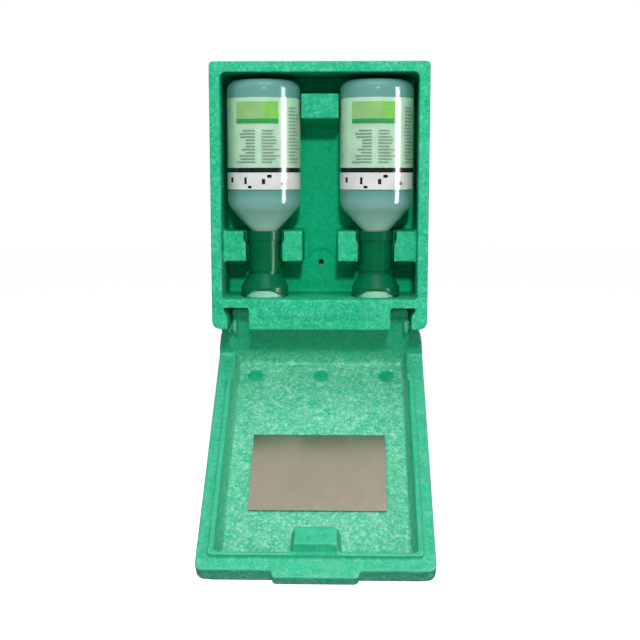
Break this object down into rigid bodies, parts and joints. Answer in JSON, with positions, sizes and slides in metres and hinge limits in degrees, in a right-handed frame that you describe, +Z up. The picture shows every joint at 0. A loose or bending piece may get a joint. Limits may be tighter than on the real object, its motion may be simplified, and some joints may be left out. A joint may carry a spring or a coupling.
{
  "type": "eyewash station",
  "caption": "Wall-mounted foam cabinet with a fold-down lid and mirror, holding upside-down eyewash bottles with eye cups.",
  "frame": {"origin": "centre of the wall screw's hole where it leaves the cabinet's back face", "axes": "+Z up, +Y into the wall, the front faces -Y, +X to the right of a viewer who faces the front"},
  "size_m": [0.21, 0.2353, 0.4612],
  "materials": {
    "cabinet_foam": "matte",
    "lid_foam": "matte",
    "mirror": "polished",
    "adhesive": "matte",
    "bottle": "satin",
    "saline": "polished",
    "label": "satin",
    "closure": "gloss",
    "eye_cup": "gloss",
    "seal": "matte",
    "insert": "satin",
    "o_ring": "matte",
    "dust_cap": "satin"
  },
  "bodies": {
    "cabinet": {"cabinet_shell": "cabinet_foam"},
    "lid": {"lid_shell": "lid_foam", "mirror": "mirror", "mirror_adhesive": "adhesive"},
    "bottle_left": {"bottle_left": "bottle", "saline_left": "saline", "label_left": "label", "closure_left": "closure", "neck_seal_left": "seal", "flow_insert_left": "insert"},
    "eye_cup_left": {"eye_cup_left": "eye_cup", "twist_seal_left": "o_ring", "rinse_rose_left": "insert", "dust_cap_left": "dust_cap"},
    "bottle_right": {"bottle_right": "bottle", "saline_right": "saline", "label_right": "label", "closure_right": "closure", "neck_seal_right": "seal", "flow_insert_right": "insert"},
    "eye_cup_right": {"eye_cup_right": "eye_cup", "twist_seal_right": "o_ring", "rinse_rose_right": "insert", "dust_cap_right": "dust_cap"}
  },
  "joints": [
    {"name": "lid_hinge", "type": "hinge", "parent": "cabinet", "child": "lid", "pos_m": [0, -0.044, -0.0627], "axis": [1, 0, 0], "range_deg": [-126.4, 0]},
    {"name": "bottle_left_slide", "type": "slide", "parent": "cabinet", "child": "bottle_left", "axis": [0, -1, 0], "range_m": [0, 0.12]},
    {"name": "eye_cup_left_twist", "type": "hinge", "parent": "bottle_left", "child": "eye_cup_left", "pos_m": [-0.0552, -0.05, -0.0045], "axis": [0, 0, 1], "range_deg": [0, 90]},
    {"name": "bottle_right_slide", "type": "slide", "parent": "cabinet", "child": "bottle_right", "axis": [0, -1, 0], "range_m": [0, 0.12]},
    {"name": "eye_cup_right_twist", "type": "hinge", "parent": "bottle_right", "child": "eye_cup_right", "pos_m": [0.0552, -0.05, -0.0045], "axis": [0, 0, 1], "range_deg": [0, 90]}
  ]
}
